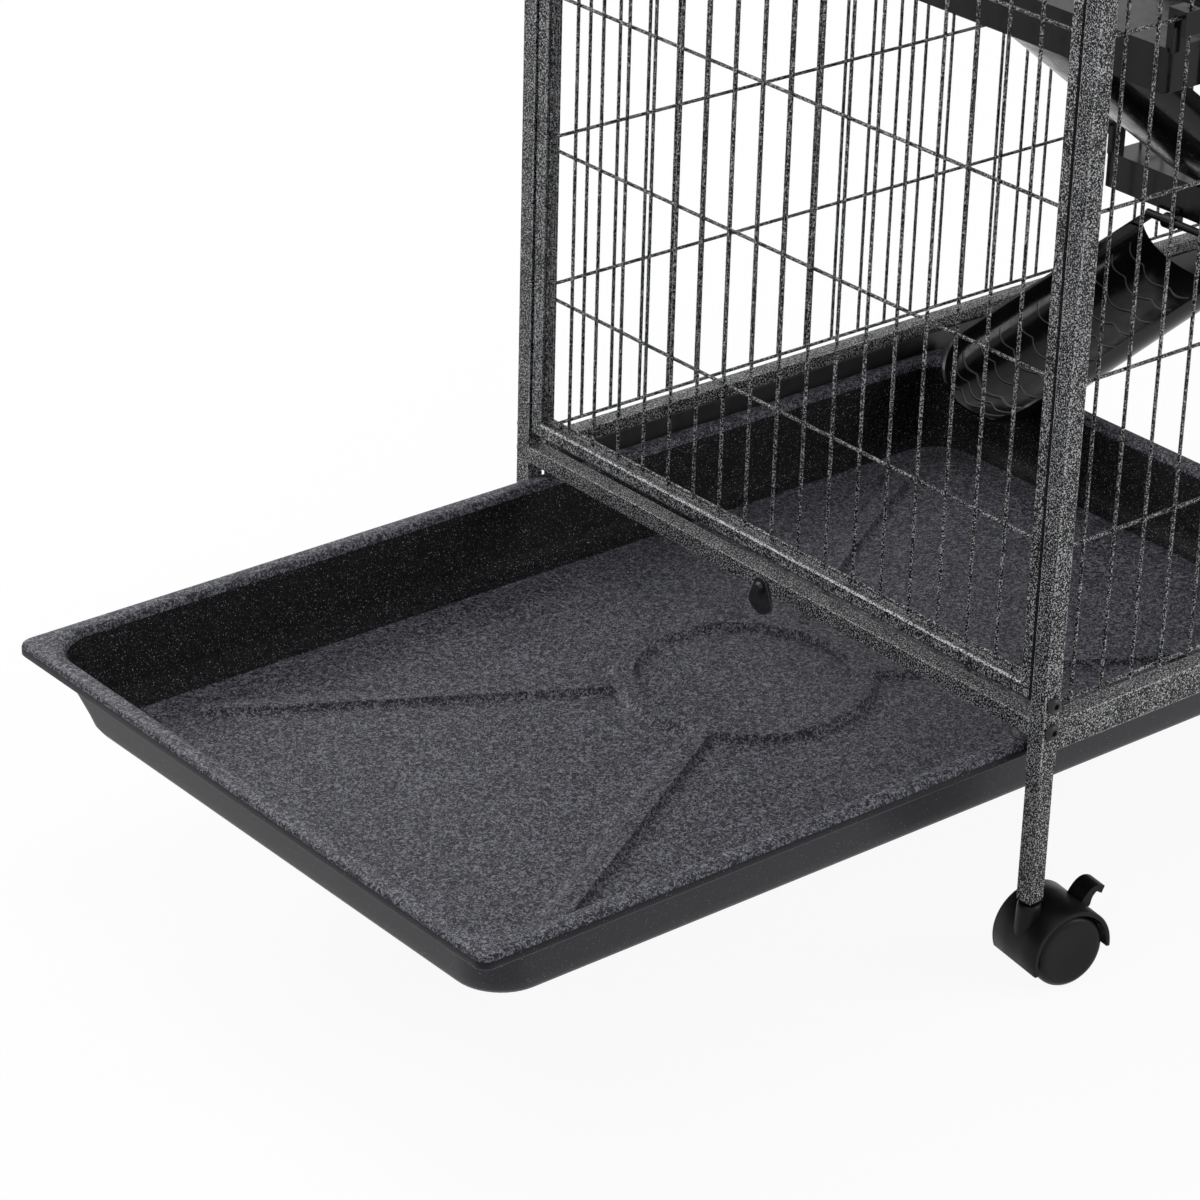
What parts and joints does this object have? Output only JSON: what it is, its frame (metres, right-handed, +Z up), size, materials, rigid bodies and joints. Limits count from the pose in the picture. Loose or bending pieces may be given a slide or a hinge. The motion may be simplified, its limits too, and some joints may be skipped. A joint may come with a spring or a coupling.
{
  "type": "ferret cage",
  "caption": "Tall wire pet cage on casters with a pull-out litter tray, shelves, trough ramps, and doors on a long side.",
  "frame": {"origin": "centre of the footprint of the whole object with its tray pulled out, on the floor", "axes": "+Z up, -X the way the tray pulls out, -Y the way the doors face"},
  "size_m": [1.2658, 0.5536, 1.3276],
  "materials": {
    "hammertone": "black and silver hammertone powder coat on steel tube and wire",
    "runner_steel": "black painted sheet steel",
    "tray_plastic": "charcoal plastic with a leathery moulded grain",
    "gloss_black": "glossy black plastic",
    "satin_black": "satin black plastic",
    "black_screw": "black oxide steel"
  },
  "bodies": {
    "frame": {"post_exit_front": "hammertone", "leg_exit_front": "hammertone", "leg_insert_exit_front": "satin_black", "lower_screw_exit_front": "black_screw", "upper_screw_exit_front": "black_screw", "top_screw_exit_front": "black_screw", "post_exit_back": "hammertone", "leg_exit_back": "hammertone", "leg_insert_exit_back": "satin_black", "lower_screw_exit_back": "black_screw", "upper_screw_exit_back": "black_screw", "top_screw_exit_back": "black_screw", "post_far_front": "hammertone", "leg_far_front": "hammertone", "leg_insert_far_front": "satin_black", "lower_screw_far_front": "black_screw", "upper_screw_far_front": "black_screw", "top_screw_far_front": "black_screw", "post_far_back": "hammertone", "leg_far_back": "hammertone", "leg_insert_far_back": "satin_black", "lower_screw_far_back": "black_screw", "upper_screw_far_back": "black_screw", "top_screw_far_back": "black_screw", "end_rail_exit": "hammertone", "end_rail_far": "hammertone", "side_rail_front": "hammertone", "side_rail_back": "hammertone", "tray_runner_front": "runner_steel", "tray_runner_back": "runner_steel", "end_panel_exit": "hammertone", "end_panel_far": "hammertone", "back_mesh": "hammertone", "front_mesh": "hammertone", "top_panel": "hammertone", "tray_latch_screw": "black_screw", "lower_shelf": "gloss_black", "middle_shelf": "gloss_black", "upper_shelf": "gloss_black"},
    "tray": {"litter_tray": "tray_plastic"},
    "tray_latch_plate": {"tray_latch": "hammertone"},
    "lower_door_leaf": {"lower_door": "hammertone"},
    "upper_door_leaf": {"upper_door": "hammertone"},
    "lower_door_button": {"lower_door_latch": "satin_black"},
    "upper_door_button": {"upper_door_latch": "satin_black"},
    "lower_ramp_trough": {"lower_ramp": "gloss_black"},
    "middle_ramp_trough": {"middle_ramp": "gloss_black"},
    "upper_ramp_trough": {"upper_ramp": "gloss_black"},
    "swivel_exit_front": {"caster_hood_exit_front": "satin_black"},
    "wheels_exit_front": {"caster_wheel_exit_front": "satin_black"},
    "brake_exit_front": {"brake_lever_exit_front": "satin_black"},
    "swivel_exit_back": {"caster_hood_exit_back": "satin_black"},
    "wheels_exit_back": {"caster_wheel_exit_back": "satin_black"},
    "brake_exit_back": {"brake_lever_exit_back": "satin_black"},
    "swivel_far_front": {"caster_hood_far_front": "satin_black"},
    "wheels_far_front": {"caster_wheel_far_front": "satin_black"},
    "brake_far_front": {"brake_lever_far_front": "satin_black"},
    "swivel_far_back": {"caster_hood_far_back": "satin_black"},
    "wheels_far_back": {"caster_wheel_far_back": "satin_black"},
    "brake_far_back": {"brake_lever_far_back": "satin_black"}
  },
  "joints": [
    {"name": "tray_slide", "type": "slide", "parent": "frame", "child": "tray", "axis": [1, 0, 0], "range_m": [0, 0.386]},
    {"name": "tray_latch_swing", "type": "hinge", "parent": "frame", "child": "tray_latch_plate", "pos_m": [-0.22715, 0.00259, 0.17123], "axis": [1, 0, 0], "range_deg": [-110, 110]},
    {"name": "lower_door_hinge", "type": "hinge", "parent": "frame", "child": "lower_door_leaf", "pos_m": [0.02795, -0.24346, 0.49813], "axis": [0, 0, -1], "range_deg": [0, 100]},
    {"name": "upper_door_hinge", "type": "hinge", "parent": "frame", "child": "upper_door_leaf", "pos_m": [0.02795, -0.24346, 1.01713], "axis": [0, 0, -1], "range_deg": [0, 100]},
    {"name": "lower_door_latch_turn", "type": "hinge", "parent": "frame", "child": "lower_door_button", "pos_m": [0.31935, -0.24876, 0.49813], "axis": [0, -1, 0], "range_deg": [0, 90]},
    {"name": "upper_door_latch_turn", "type": "hinge", "parent": "frame", "child": "upper_door_button", "pos_m": [0.31935, -0.24876, 1.01713], "axis": [0, -1, 0], "range_deg": [0, 90]},
    {"name": "lower_ramp_lift", "type": "hinge", "parent": "frame", "child": "lower_ramp_trough", "pos_m": [0.31025, 0.14094, 0.24153], "axis": [0, 1, 0], "range_deg": [0, 40]},
    {"name": "middle_ramp_lift", "type": "hinge", "parent": "frame", "child": "middle_ramp_trough", "pos_m": [0.00825, 0.14094, 0.55293], "axis": [0, -1, 0], "range_deg": [0, 35]},
    {"name": "upper_ramp_lift", "type": "hinge", "parent": "frame", "child": "upper_ramp_trough", "pos_m": [0.31025, -0.13306, 0.86433], "axis": [0, 1, 0], "range_deg": [0, 35]},
    {"name": "caster_swivel_exit_front", "type": "hinge", "parent": "frame", "child": "swivel_exit_front", "pos_m": [-0.2206, -0.24351, 0.02403], "axis": [0, 0, 1], "continuous": true},
    {"name": "wheel_spin_exit_front", "type": "hinge", "parent": "swivel_exit_front", "child": "wheels_exit_front", "pos_m": [-0.20203, -0.24645, 0.02403], "axis": [0.1564, 0.9877, 0], "continuous": true},
    {"name": "brake_press_exit_front", "type": "hinge", "parent": "swivel_exit_front", "child": "brake_exit_front", "pos_m": [-0.18359, -0.24937, 0.04476], "axis": [0.1564, 0.9877, 0], "range_deg": [0, 12]},
    {"name": "caster_swivel_exit_back", "type": "hinge", "parent": "frame", "child": "swivel_exit_back", "pos_m": [-0.2206, 0.24869, 0.02403], "axis": [0, 0, 1], "continuous": true},
    {"name": "wheel_spin_exit_back", "type": "hinge", "parent": "swivel_exit_back", "child": "wheels_exit_back", "pos_m": [-0.20194, 0.25098, 0.02403], "axis": [-0.1219, 0.9925, 0], "continuous": true},
    {"name": "brake_press_exit_back", "type": "hinge", "parent": "swivel_exit_back", "child": "brake_exit_back", "pos_m": [-0.18341, 0.25326, 0.04476], "axis": [-0.1219, 0.9925, 0], "range_deg": [0, 12]},
    {"name": "caster_swivel_far_front", "type": "hinge", "parent": "frame", "child": "swivel_far_front", "pos_m": [0.5813, -0.24351, 0.02403], "axis": [0, 0, 1], "continuous": true},
    {"name": "wheel_spin_far_front", "type": "hinge", "parent": "swivel_far_front", "child": "wheels_far_front", "pos_m": [0.59955, -0.24806, 0.02403], "axis": [0.2419, 0.9703, 0], "continuous": true},
    {"name": "brake_press_far_front", "type": "hinge", "parent": "swivel_far_front", "child": "brake_far_front", "pos_m": [0.61766, -0.25257, 0.04476], "axis": [0.2419, 0.9703, 0], "range_deg": [0, 12]},
    {"name": "caster_swivel_far_back", "type": "hinge", "parent": "frame", "child": "swivel_far_back", "pos_m": [0.5813, 0.24869, 0.02403], "axis": [0, 0, 1], "continuous": true},
    {"name": "wheel_spin_far_back", "type": "hinge", "parent": "swivel_far_back", "child": "wheels_far_back", "pos_m": [0.60006, 0.25, 0.02403], "axis": [-0.0698, 0.9976, 0], "continuous": true},
    {"name": "brake_press_far_back", "type": "hinge", "parent": "swivel_far_back", "child": "brake_far_back", "pos_m": [0.61868, 0.2513, 0.04476], "axis": [-0.0698, 0.9976, 0], "range_deg": [0, 12]}
  ]
}
